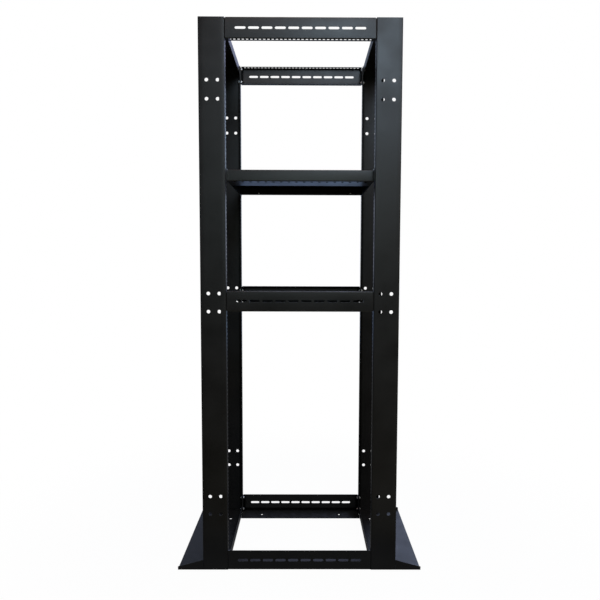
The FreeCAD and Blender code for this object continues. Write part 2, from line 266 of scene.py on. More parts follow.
trial = Section((0.0, 0.0), 0.0, [10.0, 10.0], [QUARTER])
trial_points, _ = fold(section_lines(trial)[:2], trial)
print("A strip with one fold runs from", trial_points[0], "to", trial_points[1].round(2))

# %% [markdown]
# The two faces of the sheet lie half a sheet either side of the folded middle line. Blender's
# Solidify modifier could give the thickness, but working it out here keeps the holes' walls square
# and the mesh closed, with no modifier left on the piece.

# %% Close the sheet


def close_sheet(lower, upper, solid):
    """Vertices and quads of a closed sheet between two faces on the same grid.

    Solid cells give a quad on each face. Wherever a solid cell meets an empty one, or the edge of
    the blank, a wall joins the two faces.
    """
    rows, columns = solid.shape
    low = np.arange((rows + 1) * (columns + 1)).reshape(rows + 1, columns + 1)
    top = low + low.size
    i, j = np.nonzero(solid)
    quads = [np.stack([low[i, j + 1], low[i + 1, j + 1], low[i + 1, j], low[i, j]], 1),
             np.stack([top[i, j], top[i + 1, j], top[i + 1, j + 1], top[i, j + 1]], 1)]
    ringed = np.pad(solid, 1)
    before, after = ringed[:-1, 1:-1], ringed[1:, 1:-1]
    i, j = np.nonzero(before & ~after)
    quads.append(np.stack([low[i, j], low[i, j + 1], top[i, j + 1], top[i, j]], 1))
    i, j = np.nonzero(after & ~before)
    quads.append(np.stack([low[i, j + 1], low[i, j], top[i, j], top[i, j + 1]], 1))
    before, after = ringed[1:-1, :-1], ringed[1:-1, 1:]
    i, j = np.nonzero(before & ~after)
    quads.append(np.stack([low[i + 1, j], low[i, j], top[i, j], top[i + 1, j]], 1))
    i, j = np.nonzero(after & ~before)
    quads.append(np.stack([low[i, j], low[i + 1, j], top[i + 1, j], top[i, j]], 1))
    used, renamed = np.unique(np.concatenate(quads), return_inverse=True)
    points = np.concatenate([lower.reshape(-1, 3), upper.reshape(-1, 3)])
    return points[used], renamed.reshape(-1, 4)


def folded_sheet(section, span, holes, axes, sheet=SHEET):
    """Punch a blank, fold it and close it.

    A point lies at its place on the section, half a sheet along the normal to either side, and at
    t along the fold. The axes say which ways the section's two coordinates and t point.
    """
    s, t, solid = punch_blank(section_lines(section), np.array(span, float), holes)
    points, normals = fold(s, section)
    faces = []
    for side in (-0.5, 0.5):
        placed = points + side * sheet * normals
        face = np.empty(s.shape + (3,))
        face[..., axes[0]] = placed[..., 0]
        face[..., axes[1]] = placed[..., 1]
        face[..., axes[2]] = t
        faces.append(face)
    return close_sheet(faces[0], faces[1], solid)


trial_sheet = folded_sheet(trial, (0.0, 20.0), [], (0, 1, 2))
print("The trial strip closes with", len(trial_sheet[1]), "quads")

# %% [markdown]
# ## From arrays to a Blender piece
#
# Several closed sheets may make one piece. The signed volume of a closed mesh is positive when its
# faces point outwards, so a mirrored sheet that comes out negative has its faces turned round. The
# mesh is smooth across the small steps of a bend and sharp at every real edge.

# %% Make pieces
SMOOTH_BELOW = math.radians(32)
SIDES = [("right", False), ("left", True)]
ENDS = [("front", False), ("rear", True)]
made = []


def outward(points, faces):
    """The faces, turned round if the closed mesh's signed volume is negative.

    Each quad is two triangles. Six times the volume is the sum, over all triangles, of one
    corner's dot product with the cross product of the other two.
    """
    a, b, c, d = (points[faces[:, k]] for k in range(4))
    volume = np.einsum("ij,ij->", a, np.cross(b, c)) + np.einsum("ij,ij->", a, np.cross(c, d))
    return faces if volume > 0 else faces[:, ::-1]


def mirrored(part, across_x, across_y):
    """A copy of a closed part on another side of the rack."""
    points, faces = part
    sign = np.array([-1 if across_x else 1, -1 if across_y else 1, 1])
    return points * sign, faces


def add_piece(name, parts, slot, *nodes):
    """One Blender object from closed parts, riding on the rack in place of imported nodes."""
    points, faces, first = [], [], 0
    for part_points, part_faces in parts:
        faces.append(outward(part_points, part_faces) + first)
        points.append(part_points)
        first += len(part_points)
    points = np.concatenate(points) * METRE
    faces = np.concatenate(faces)
    mesh = bpy.data.meshes.new(name)
    mesh.from_pydata(points.tolist(), [], faces.tolist())
    mesh.validate()
    mesh.shade_smooth()
    mesh.set_sharp_from_angle(angle=SMOOTH_BELOW)
    piece = bpy.data.objects.new(name, mesh)
    bpy.context.scene.collection.objects.link(piece)
    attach(piece, "root")
    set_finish(piece, slot)
    if nodes:
        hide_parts(*nodes)
    made.append(piece)


# %% [markdown]
# ## The four posts
#
# A post is a channel: a wide web with a flange on each edge. Both flanges carry the equipment
# holes, square for cage nuts, three to a unit at uneven steps of 15.9, 15.9 and 12.7 mm. That
# rhythm is what makes it a rack, so every hole is real. The web has three groups of four round
# holes. One post is folded and the other three are its mirror images.

# %% Fold the posts
UNIT = 44.45
UNIT_HOLES = np.array([6.35, 22.225, 38.1])
END_UNITS = 1.5
HOLE_HALF = 4.75
HOLE_LINE = 24.625
WEB_HOLE_RADIUS = 7.0
WEB_HOLE_INSETS = np.array([31.0, 73.0])
WEB_HOLE_RISE = 70.0
WEB_GROUPS = 3
WEB_GROUP_INSET = 264.0

rack_height = post_high[2]
web, flange, _ = post_high - post_low
run = flange - BEND
web_run = web - 2 * BEND
blank_end = 2 * run + 2 * BEND_ARC + web_run
unit_count = round(rack_height / UNIT - 2 * END_UNITS)
unit_floor = (rack_height - unit_count * UNIT) / 2
unit_floors = unit_floor + UNIT * np.arange(unit_count)
unit_hole_heights = (unit_floors[:, None] + UNIT_HOLES).ravel()
group_heights = np.linspace(WEB_GROUP_INSET, rack_height - WEB_GROUP_INSET, WEB_GROUPS)
web_hole_heights = (group_heights[:, None] + WEB_HOLE_RISE * np.array([-0.5, 0.5])).ravel()
flange_hole = flange - HOLE_LINE
post_holes = [
    punch([flange_hole, blank_end - flange_hole], unit_hole_heights, HOLE_HALF, HOLE_HALF),
    round_holes(run + BEND_ARC + WEB_HOLE_INSETS - BEND, web_hole_heights, WEB_HOLE_RADIUS),
]
post_section = Section((post_low[0] + SHEET / 2, post_high[1]), -QUARTER,
                       [run, web_run, run], [QUARTER, QUARTER])
post = folded_sheet(post_section, (post_low[2], rack_height), post_holes, (0, 1, 2))
for end, far_end in ENDS:
    for side, far_side in SIDES:
        add_piece(f"post_{end}_{side}_folded", [mirrored(post, far_end, far_side)],
                  "frame_paint", f"post_{end}_{side}")
print("A post has", len(post[1]), "quads and", 2 * len(unit_hole_heights), "equipment holes")

# %% [markdown]
# ## The side bars
#
# The top and middle bars are channels with a row of ten slots in the face. The top bars also have
# a row of holes in each flange; the middle bars' flanges show none in the photo, and their slots
# sit a little above the middle of the face. At both ends the face turns inwards as a tab, which is
# bolted to the post. A sheet can't fold both ways at a corner, so a small relief is left open
# there, as on the real bar.

# %% Fold the channel bars
SLOT_HALF_LENGTH = 20.5
SLOT_HALF_WIDTH = 5.0
SLOT_PITCH = 50.0
SLOT_COUNT = 10
MIDDLE_SLOT_LIFT = 2.5
FLANGE_HOLE_COUNT = 34
FLANGE_HOLE_PITCH = 16.0
FLANGE_HOLE_HALF = 4.5
FLANGE_HOLE_HALF_DEEP = 6.0
TAB_RELIEF = 3.6


def centred(count, pitch):
    """Evenly spaced places about zero."""
    return (np.arange(count) - (count - 1) / 2) * pitch


def slot_row(across):
    """The row of rounded slots along a bar's face."""
    return punch(across, centred(SLOT_COUNT, SLOT_PITCH), SLOT_HALF_WIDTH, SLOT_HALF_LENGTH, True)


def end_tabs(low, high, floor, ceiling):
    """The two end tabs of a bar, each folded inwards from the face between two heights."""
    depth = high[1] - low[1]
    tab = Section((low[0] + BEND, low[1] + SHEET / 2), math.pi, [0.0, depth - BEND], [-QUARTER])
    part = folded_sheet(tab, (floor, ceiling), [], (0, 1, 2))
    return [part, mirrored(part, True, False)]


def channel_bar(node, slot_lift=0.0, punched_flanges=True):
    """A slotted channel with end tabs; its flanges are punched or plain."""
    low, high = node_box(node)
    depth = high[1] - low[1]
    lip = depth - BEND
    face = high[2] - low[2] - 2 * BEND
    middle = lip + BEND_ARC + face / 2
    holes = [slot_row(middle + slot_lift)]
    if punched_flanges:
        holes.append(punch([depth / 2, 2 * middle - depth / 2],
                           centred(FLANGE_HOLE_COUNT, FLANGE_HOLE_PITCH),
                           FLANGE_HOLE_HALF_DEEP, FLANGE_HOLE_HALF))
    section = Section((high[1], low[2] + SHEET / 2), math.pi,
                      [lip, face, lip], [-QUARTER, -QUARTER])
    channel = folded_sheet(section, (low[0] + BEND, high[0] - BEND), holes, (1, 2, 0))
    return [channel] + end_tabs(low, high, low[2] + TAB_RELIEF, high[2] - TAB_RELIEF)


bars = {"top_side_bar": channel_bar("top_side_bar_right"),
        "middle_side_bar": channel_bar("middle_side_bar_right", MIDDLE_SLOT_LIFT, False)}
print("Folded bars:", sorted(bars))

# %% [markdown]
# The bottom bars have the same face and tabs, but one wide flange on the floor with two anchor
# holes. The floor flange runs the full length, while the face stops short of the tabs' bends, so
# the punch takes a narrow strip off both ends of the face.

# %% Fold the bottom bars and place all bars
ANCHOR_X = 187.0
ANCHOR_INSET = 53.5
BAR_ANCHOR_RADIUS = 5.5
OVERCUT = 1.0
TAB_DROP = 1.0


def floor_bar(node, tab_depth):
    """A slotted angle with a wide floor flange, anchor holes and end tabs."""
    low, high = node_box(node)
    depth = high[1] - low[1]
    height = high[2] - low[2]
    floor_run = depth - BEND
    face = height - BEND
    strip_half = face / 2 + OVERCUT
    holes = [
        slot_row(floor_run + BEND_ARC + height / 2 - BEND),
        round_holes(depth - ANCHOR_INSET, [-ANCHOR_X, ANCHOR_X], BAR_ANCHOR_RADIUS),
        punch(floor_run + BEND_ARC + strip_half, [low[0] + BEND / 2, high[0] - BEND / 2],
              strip_half, BEND / 2),
    ]
    section = Section((high[1], low[2] + SHEET / 2), math.pi, [floor_run, face], [-QUARTER])
    angle = folded_sheet(section, (low[0], high[0]), holes, (1, 2, 0))
    tab_high = np.array([high[0], low[1] + tab_depth, high[2]])
    return [angle] + end_tabs(low, tab_high, low[2] + BEND, high[2] - TAB_DROP)


top_low, top_high = node_box("top_side_bar_right")
bars["bottom_side_bar"] = floor_bar("bottom_side_bar_right", top_high[1] - top_low[1])
for bar, parts in bars.items():
    for side, far_side in SIDES:
        add_piece(f"{bar}_{side}_folded", [mirrored(part, False, far_side) for part in parts],
                  "frame_paint", f"{bar}_{side}")
    print(bar, "has", sum(len(part[1]) for part in parts), "quads")

# %% [markdown]
# ## Top crossmembers and base feet
#
# A crossmember is a plain channel, open below, between the webs of two posts. A foot is a floor
# plate with an upright flange along its inner edge. The flange is notched at both ends so that it
# fits between the posts, while the plate goes on under them: the punch takes the fold away there,
# and a small plate fills the corner that the fold leaves.

# %% Fold crossmembers and feet
FOOT_ANCHOR_RADIUS = 5.5
FOOT_ANCHOR_Y = 161.175
FOOT_ANCHOR_X = 333.0


def plain_plate(low, high):
    """A closed flat plate between two corners."""
    x, y = np.meshgrid([low[0], high[0]], [low[1], high[1]], indexing="ij")
    lower, upper = (np.stack([x, y, np.full_like(x, z)], -1) for z in (low[2], high[2]))
    return close_sheet(lower, upper, np.ones((1, 1), bool))


low, high = node_box("top_crossmember_front")
drop = high[2] - low[2] - BEND
section = Section((low[0] + SHEET / 2, low[2]), QUARTER,
                  [drop, high[0] - low[0] - 2 * BEND, drop], [-QUARTER, -QUARTER])
crossmember = folded_sheet(section, (low[1], high[1]), [], (0, 2, 1))

low, high = node_box("base_foot_front")
plate_run = high[0] - low[0] - BEND
rise = high[2] - low[2] - BEND
notch_half = (BEND_ARC + rise) / 2 + OVERCUT
foot_holes = [
    round_holes(-FOOT_ANCHOR_X - low[0], [-FOOT_ANCHOR_Y, FOOT_ANCHOR_Y], FOOT_ANCHOR_RADIUS),
    punch(plate_run + notch_half, [low[1] + flange / 2, high[1] - flange / 2],
          notch_half, flange / 2),
]
section = Section((low[0], low[2] + SHEET / 2), 0.0, [plate_run, rise], [QUARTER])
foot = folded_sheet(section, (low[1], high[1]), foot_holes, (0, 2, 1))
corner = plain_plate((high[0] - BEND, low[1], low[2]),
                     (high[0], low[1] + flange, low[2] + SHEET))
foot_parts = [foot, corner, mirrored(corner, False, True)]
for end, far_end in ENDS:
    add_piece(f"top_crossmember_{end}_folded", [mirrored(crossmember, far_end, False)],
              "frame_paint", f"top_crossmember_{end}")
    add_piece(f"base_foot_{end}_folded", [mirrored(part, far_end, False) for part in foot_parts],
              "frame_paint", f"base_foot_{end}")
print("Crossmember", len(crossmember[1]), "quads, foot", len(foot[1]), "quads")

# %% [markdown]
# ## Base gussets
#
# Each end of a foot is stiffened by a tapered plate that stands on it, flush with the post web. It
# is a grid again: one parameter runs outwards from the post and the other up the plate, whose
# height falls in a straight line from the post to the tip.

# %% Shape the gussets
GUSSET_TIP = 10.0
GUSSET_STEPS = 12

low, high = node_box("base_gusset_front_right")
gusset_root = high[2] - low[2]
outwards, up = np.meshgrid(np.linspace(0, 1, GUSSET_STEPS + 1), [0.0, 1.0], indexing="ij")
x = high[0] - outwards * (high[0] - low[0])
z = low[2] + up * (gusset_root + (GUSSET_TIP - gusset_root) * outwards)
right_face, left_face = (np.stack([x, np.full_like(x, y), z], -1) for y in (low[1], high[1]))
gusset = close_sheet(right_face, left_face, np.ones((GUSSET_STEPS, 1), bool))
for end, far_end in ENDS:
    for side, far_side in SIDES:
        add_piece(f"base_gusset_{end}_{side}_plate", [mirrored(gusset, far_end, far_side)],
                  "frame_paint", f"base_gusset_{end}_{side}")
print("Gusset tapers from", round(gusset_root, 1), "to", GUSSET_TIP, "mm")

# %% [markdown]
# ## The shelf
#
# The shelf is one sheet folded three times: a vented return flange, a lip, the shelf itself and a
# short lip at the far edge. Two flat brackets carry it between the posts. Its sheet is a little
# thinner than the frame's.

# %% Fold the shelf
SHELF_SHEET = 2.0
SHELF_RETURN = 118.0
SHELF_REAR_LIP = 40.8
VENT_COUNT = 18
VENT_PITCH = 30.0
VENT_INSET = 8.0
VENT_HALF_WIDTH = 5.0
VENT_HALF_LENGTH = 12.0

low, high = node_box("shelf_tray")
runs = [SHELF_RETURN - BEND, high[2] - low[2] - 2 * BEND,
        high[1] - low[1] - 2 * BEND, SHELF_REAR_LIP - BEND]
section = Section((low[1] + SHELF_RETURN, low[2] + SHELF_SHEET / 2), math.pi,
                  runs, [-QUARTER] * 3)
vents = punch(SHELF_RETURN - VENT_INSET - VENT_HALF_LENGTH, centred(VENT_COUNT, VENT_PITCH),
              VENT_HALF_LENGTH, VENT_HALF_WIDTH, True)
tray = folded_sheet(section, (low[0], high[0]), [vents], (1, 2, 0), SHELF_SHEET)
add_piece("shelf_tray_folded", [tray], "shelf_paint", "shelf_tray")

bracket = plain_plate(*node_box("shelf_bracket_front"))
for end, far_end in ENDS:
    add_piece(f"shelf_bracket_{end}_plate", [mirrored(bracket, far_end, False)],
              "shelf_paint", f"shelf_bracket_{end}")
print("Shelf has", len(tray[1]), "quads and", VENT_COUNT, "vents")

# %% [markdown]
# ## Bolts
#
# Two bolts hold each bar tab to its post, with the heads inside the bar and flange nuts inside the
# post. Each is a surface of two parameters: the angle round the bolt and the place along an
# outline. Six flats come from dividing the radius by the cosine of the angle to the nearest flat,
# and the outline rounds the corners off, as on a cold-headed bolt. A thread is the same kind of
# surface, with a radius that rises and falls along a helix. Blender's screw add-ons could make it,
# but then the script would lean on what happens to be installed.

# %% Turn the bolts
BOLT_ANGLES = 24
FLAT_ANGLE = math.pi / 3
ROUNDED_CORNER = 1.11
THREAD_ANGLES = 12
THREAD_RINGS = 3
THREAD_RADIUS = 3.75
THREAD_DEPTH = 0.6
THREAD_PITCH = 1.25
BOLT_REACH = 9.5
NUT_HEIGHT = 6.5

# Outlines from tip to seat: height, radius, and share of the six-sided shape
HEAD_OUTLINE = np.array([[5.0, 4.2, 0.0], [4.7, 4.75, 0.5], [4.1, 5.0, 1.0], [1.6, 5.0, 1.0],
                         [1.2, 5.4, 0.5], [1.0, 6.2, 0.0], [0.6, 6.5, 0.0], [0.0, 6.5, 0.0]])
NUT_OUTLINE = np.array([[NUT_HEIGHT, 5.0, 0.0], [6.1, 6.0, 0.5], [5.5, 6.4, 1.0],
                        [2.0, 6.4, 1.0], [1.5, 6.8, 0.5], [1.2, 7.4, 0.0], [0.6, 7.8, 0.0],
                        [0.0, 7.8, 0.0]])


def full_turn(count):
    """Evenly spaced angles round a bolt."""
    return np.linspace(0, 2 * math.pi, count, endpoint=False)


def turned(height, radius, angle):
    """Closed part along +X from rings of points, with each end capped by strips of quads.

    A point of a ring lies at its height along X, and at radius times the cosine and the sine of
    its angle in Y and Z.
    """
    rings = np.stack([np.broadcast_to(height, radius.shape),
                      radius * np.cos(angle), radius * np.sin(angle)], -1)
    grid = np.arange(radius.size).reshape(radius.shape)
    after = np.roll(grid, -1, 1)
    wall = np.stack([grid[:-1], after[:-1], after[1:], grid[1:]], -1).reshape(-1, 4)
    step = np.arange(len(angle) // 2 - 1)
    strips = np.stack([step, step + 1, -step - 2, -step - 1], -1)
    quads = np.concatenate([wall, grid[0][strips][:, ::-1], grid[-1][strips]])
    return rings.reshape(-1, 3), quads


def six_sided(outline):
    """Head or nut: the outline's radius, blended by its share towards a hexagon's radius.

    The hexagon's radius is one over the cosine of the angle to the nearest flat, cut off where
    its corners are rounded.
    """
    angle = full_turn(BOLT_ANGLES)
    to_flat = np.abs((angle + FLAT_ANGLE / 2) % FLAT_ANGLE - FLAT_ANGLE / 2)
    hexagon = np.minimum(1 / np.cos(to_flat), ROUNDED_CORNER)
    height, radius, share = (column[:, None] for column in outline.T)
    return turned(height, radius * (1 + share * (hexagon - 1)), angle)


def thread_end():
    """Bolt end: the radius is a cosine of height over pitch less the angle's share of a turn."""
    angle = full_turn(THREAD_ANGLES)
    ring_step = THREAD_PITCH / THREAD_RINGS
    height = np.arange(BOLT_REACH, NUT_HEIGHT - THREAD_PITCH, -ring_step)[:, None]
    phase = 2 * math.pi * height / THREAD_PITCH - angle
    radius = THREAD_RADIUS - THREAD_DEPTH * (0.5 - 0.5 * np.cos(phase))
    radius[0] = THREAD_RADIUS - THREAD_DEPTH
    return turned(height, radius, angle)


head, nut, thread = six_sided(HEAD_OUTLINE), six_sided(NUT_OUTLINE), thread_end()
print("Head, nut and thread have", [len(part[1]) for part in (head, nut, thread)], "quads")

# %% [markdown]
# One bolt sits above and one below the middle of each tab. Where the crossmember lies inside the
# post, at the top of the rack, its sheet comes between, so the nut sits one sheet further from
# the bar.

# %% Seat the bolts
BOLT_SPREAD = {"top": 28.6, "middle": 20.0, "bottom": 28.6}
BOLT_INSET = 12.5


def seated(part, seat, facing):
    """A part moved to its seat, facing along +X or -X."""
    points, faces = part
    return points * np.array([facing, 1, 1]) + np.array(seat), faces


bolt_parts = []
crossmember_low, _ = node_box("top_crossmember_front")
for level, spread in BOLT_SPREAD.items():
    low, high = node_box(f"{level}_side_bar_right")
    for rise in (-spread, spread):
        y, z = low[1] + BOLT_INSET, (low[2] + high[2]) / 2 + rise
        sheets = 2 if z > crossmember_low[2] else 1
        nut_seat = (low[0] - sheets * SHEET, y, z)
        bolt = [seated(head, (low[0] + SHEET, y, z), 1),
                seated(nut, nut_seat, -1), seated(thread, nut_seat, -1)]
        bolt_parts += [mirrored(part, far_end, far_side)
                       for part in bolt for _, far_end in ENDS for _, far_side in SIDES]
add_piece("side_bar_bolts", bolt_parts, "bolt_zinc")
print("Seated", len(bolt_parts) // len(bolt), "bolts")

# %% [markdown]
# ## Rivets in the shelf
#
# The photo has two faint dots low on the shelf's far lip. They are made as small rivet heads. A
# rivet head is part of a ball, pressed flat: its height is a cosine and its radius a sine of one
# angle. It is the simplest surface of rings, so the bolts' function makes it, turned to face the
# rack's right side.

# %% Press the rivets
RIVET_X = (-198.0, 231.0)
RIVET_LIFT = 8.5
RIVET_RADIUS = 4.0
RIVET_HEIGHT = 1.6
RIVET_RINGS = 6

tip_angle = np.linspace(QUARTER / RIVET_RINGS, QUARTER, RIVET_RINGS)[:, None]
points, faces = turned(RIVET_HEIGHT * np.cos(tip_angle),
                       RIVET_RADIUS * np.sin(tip_angle) * np.ones(BOLT_ANGLES),
                       full_turn(BOLT_ANGLES))
facing_right = points[:, [1, 0, 2]] * np.array([1, -1, 1])
low, high = node_box("shelf_tray")
lip_face = high[1] - SHELF_SHEET
rivet_z = high[2] - SHELF_REAR_LIP + RIVET_LIFT
rivets = [(facing_right + np.array([x, lip_face, rivet_z]), faces) for x in RIVET_X]
add_piece("shelf_rivets", rivets, "bolt_zinc")
print("Pressed", len(rivets), "rivets of", len(faces), "quads each")

# %% [markdown]
# ## Finishes
#
# A finish in Blender is a graph of nodes. These helpers each add one node, feed it and hand on its
# output, so that a finish reads like a recipe. Object coordinates fit here, because every piece
# keeps its place in its own mesh and a pattern then has one scale all over the rack.

# %% Node helpers
NOISE_MIDDLE = (0.3, 0.7)


def new_finish(name):
    """A new material with its node tree, Principled shader and Object coordinates."""
    material = bpy.data.materials.new(name)
    material.use_nodes = True
    tree = material.node_tree
    place = tree.nodes.new("ShaderNodeTexCoord")
    return material, tree, tree.nodes["Principled BSDF"], place.outputs["Object"]


def feed(tree, socket, term):
    """Link another node's output to a socket, or set a plain number or colour on it."""
    if isinstance(term, bpy.types.NodeSocket):
        tree.links.new(term, socket)
    else:
        socket.default_value = term


def reckon(tree, operation, *terms):
    """One Math node over its terms."""
    node = tree.nodes.new("ShaderNodeMath")
    node.operation = operation
    for socket, term in zip(node.inputs, terms):
        feed(tree, socket, term)
    return node.outputs["Value"]


def noise(tree, place, scale, detail):
    """A noise texture on the piece's own coordinates."""
    texture = tree.nodes.new("ShaderNodeTexNoise")
    texture.inputs["Scale"].default_value = scale
    texture.inputs["Detail"].default_value = detail
    tree.links.new(place, texture.inputs["Vector"])
    return texture.outputs["Fac"]


def value_range(tree, value, limits, levels=(0.0, 1.0), kind="SMOOTHSTEP"):
    """Carry a value from its limits to two levels, by a smooth step or evenly."""
    reach = tree.nodes.new("ShaderNodeMapRange")
    reach.interpolation_type = kind
    for name, level in zip(("From Min", "From Max", "To Min", "To Max"), (*limits, *levels)):
        reach.inputs[name].default_value = level
    tree.links.new(value, reach.inputs["Value"])
    return reach.outputs["Result"]


def stretch(tree, value, levels=(0.0, 1.0)):
    """Stretch the middle of a noise value evenly over a range."""
    return value_range(tree, value, NOISE_MIDDLE, levels, "LINEAR")


def mix_colours(tree, amount, first, second):
    """Mix two colours by a share between 0 and 1."""
    mix = tree.nodes.new("ShaderNodeMix")
    mix.data_type = "RGBA"
    feed(tree, mix.inputs["Factor"], amount)
    feed(tree, mix.inputs["A"], first)
    feed(tree, mix.inputs["B"], second)
    return mix.outputs["Result"]


def bump(tree, height, strength, distance, before=None):
    """Turn a height into a shading normal, on top of an earlier one."""
    node = tree.nodes.new("ShaderNodeBump")
    node.inputs["Strength"].default_value = strength
    node.inputs["Distance"].default_value = distance
    tree.links.new(height, node.inputs["Height"])
    if before is not None:
        tree.links.new(before, node.inputs["Normal"])
    return node.outputs["Normal"]


# %% [markdown]
# Where a coat wears depends on the shape below it. Powder draws back from sharp edges, so the coat
# is thin and worn there: a Bevel node gives the normal that a rounded edge would have, and where
# it departs from the real one, there is an edge. Inner corners get painted shade instead: an
# Ambient Occlusion node, limited to the piece itself, finds them, and the coat is painted darker
# and less glossy there, so that the insides of channels read as shaded. Upward faces hold a little
# dust.

# %% Find edges, corners and upward faces
EDGE_RADIUS = 0.0012
EDGE_SAMPLES = 4
EDGE_MATCH = (0.98, 0.75)
# Reach, samples and sky levels of the painted shade in inner corners
CORNER_SHADE_REACH = 0.016
CORNER_SHADE_SAMPLES = 8
CORNER_SHADE_SKY = (0.97, 0.72)
UPWARD = (0.6, 0.95)


def edge_share(tree):
    """1 on sharp edges and 0 on flats: how far a rounded normal turns from the real one."""
    rounded = tree.nodes.new("ShaderNodeBevel")
    rounded.samples = EDGE_SAMPLES
    rounded.inputs["Radius"].default_value = EDGE_RADIUS
    surface = tree.nodes.new("ShaderNodeNewGeometry")
    match = tree.nodes.new("ShaderNodeVectorMath")
    match.operation = "DOT_PRODUCT"
    tree.links.new(rounded.outputs["Normal"], match.inputs[0])
    tree.links.new(surface.outputs["Normal"], match.inputs[1])
    return value_range(tree, match.outputs["Value"], EDGE_MATCH)


def corner_shade_share(tree):
    """1 deep in an inner corner and 0 in the open: how much sky a point's own piece hides, as the
    mask of the painted corner shade.
    """
    sky = tree.nodes.new("ShaderNodeAmbientOcclusion")
    sky.samples = CORNER_SHADE_SAMPLES
    sky.only_local = True
    sky.inputs["Distance"].default_value = CORNER_SHADE_REACH
    return value_range(tree, sky.outputs["AO"], CORNER_SHADE_SKY)


def upward_share(tree):
    """1 on faces that look up and 0 on the rest."""
    surface = tree.nodes.new("ShaderNodeNewGeometry")
    parts_of = tree.nodes.new("ShaderNodeSeparateXYZ")
    tree.links.new(surface.outputs["Normal"], parts_of.inputs["Vector"])
    return value_range(tree, parts_of.outputs["Z"], UPWARD)


# Shows the edge wear's radius and how far the painted shade in inner corners reaches
print("Worn edges and bare corners reach",
      [round(reach / METRE, 1) for reach in (EDGE_RADIUS, CORNER_SHADE_REACH)], "mm")

# %% [markdown]
# The frame has a satin black powder coat. Sprayed powder melts into a skin with a fine, slightly
# pebbled surface, so the bump has two scales: a grain under a millimetre and a slow wave from the
# sheet below. The roughness wanders a little, as hands and handling leave it. The painted shade in
# inner corners drives both the colour and the Metallic value, so the coat there is painted near
# black and loses its gloss. The shelf has the same coat, a little smoother.

# %% Mix the powder coat

# Scale and detail of each noise, then strength and depth of each bump
CLOUD = (9.0, 4.0)
PATCHES = (38.0, 5.0)
WAVE = (55.0, 1.0)
GRAIN = (1100.0, 2.0)
WAVE_BUMP = (0.10, 0.0006)
GRAIN_BUMP = (0.18, 0.00012)

# Tone of each layer, and the most that it covers
WORN_TONE, WORN_MOST = (0.040, 0.040, 0.041, 1.0), 0.8
DUST_TONE, DUST_MOST = (0.050, 0.048, 0.045, 1.0), 0.12
# Painted shade in inner corners: a near-black tone over most of a deep corner
CORNER_SHADE_TONE, CORNER_SHADE_MOST = (0.0015, 0.0015, 0.0015, 1.0), 0.9
WORN_ROUGHNESS = -0.08
DUST_ROUGHNESS = 0.05
GLOSS_LEVEL = 0.25


def powder_coat(name, dark, light, roughness):
    """Satin powder coat: pebbled skin, wandering gloss, worn edges, painted shade in inner corners
    and dust.
    """
    material, tree, shader, place = new_finish(name)
    cloud = noise(tree, place, *CLOUD)
    patches = stretch(tree, noise(tree, place, *PATCHES))
    worn = reckon(tree, "MULTIPLY", edge_share(tree), patches)
    dusty = reckon(tree, "MULTIPLY", upward_share(tree), patches)
    # Mask of the painted shade in inner corners
    corner = corner_shade_share(tree)
    colour = mix_colours(tree, stretch(tree, cloud), dark, light)
    # Worn edges and dust are the coat's own; the last layer is painted shade in corners
    for amount, most, tone in ((worn, WORN_MOST, WORN_TONE), (dusty, DUST_MOST, DUST_TONE),
                               (corner, CORNER_SHADE_MOST, CORNER_SHADE_TONE)):
        share = value_range(tree, amount, (0.0, 1.0), (0.0, most))
        colour = mix_colours(tree, share, colour, tone)
    gloss = stretch(tree, cloud, roughness)
    for amount, change in ((worn, WORN_ROUGHNESS), (dusty, DUST_ROUGHNESS)):
        gloss = reckon(tree, "MULTIPLY_ADD", amount, change, gloss)
    wave = bump(tree, noise(tree, place, *WAVE), *WAVE_BUMP)
    skin = bump(tree, noise(tree, place, *GRAIN), *GRAIN_BUMP, wave)
    tree.links.new(colour, shader.inputs["Base Color"])
    tree.links.new(gloss, shader.inputs["Roughness"])
    # Painted corner shade: a metallic, near-black coat there reflects almost nothing, which takes
    # the gloss out of corners
    tree.links.new(corner, shader.inputs["Metallic"])
    tree.links.new(skin, shader.inputs["Normal"])
    shader.inputs["Specular IOR Level"].default_value = GLOSS_LEVEL
    return material


finishes = {
    "frame_paint": powder_coat("satin_black_powder_coat", dark=(0.0050, 0.0050, 0.0052, 1.0),
                               light=(0.0070, 0.0070, 0.0073, 1.0), roughness=(0.36, 0.46)),
    "shelf_paint": powder_coat("shelf_black_powder_coat", dark=(0.0055, 0.0055, 0.0057, 1.0),
                               light=(0.0075, 0.0075, 0.0078, 1.0), roughness=(0.30, 0.38)),
}
print("Coats:", [coat.name for coat in finishes.values()])

# %% [markdown]
# Bolts, nuts and rivets are zinc plated: a dull metal with fine drawn marks. Marks in the colour,
# the roughness and the bump come from one noise, because on the real bolt they are one thing.

# %% Plate the bolts and put the finishes on
MARKS = (700.0, 3.0)
MARK_BUMP = (0.15, 0.0001)
ZINC_DARK = (0.34, 0.35, 0.37, 1.0)
ZINC_LIGHT = (0.48, 0.49, 0.50, 1.0)
ZINC_ROUGHNESS = (0.42, 0.55)


def zinc_plate(name):
    """Dull zinc on a cold-headed bolt: a metal with fine drawn marks and a soft blue cast."""
    material, tree, shader, place = new_finish(name)
    marks = noise(tree, place, *MARKS)
    colour = mix_colours(tree, stretch(tree, marks), ZINC_DARK, ZINC_LIGHT)
    tree.links.new(colour, shader.inputs["Base Color"])
    tree.links.new(stretch(tree, marks, ZINC_ROUGHNESS), shader.inputs["Roughness"])
    tree.links.new(bump(tree, marks, *MARK_BUMP), shader.inputs["Normal"])
    shader.inputs["Metallic"].default_value = 1.0
    return material


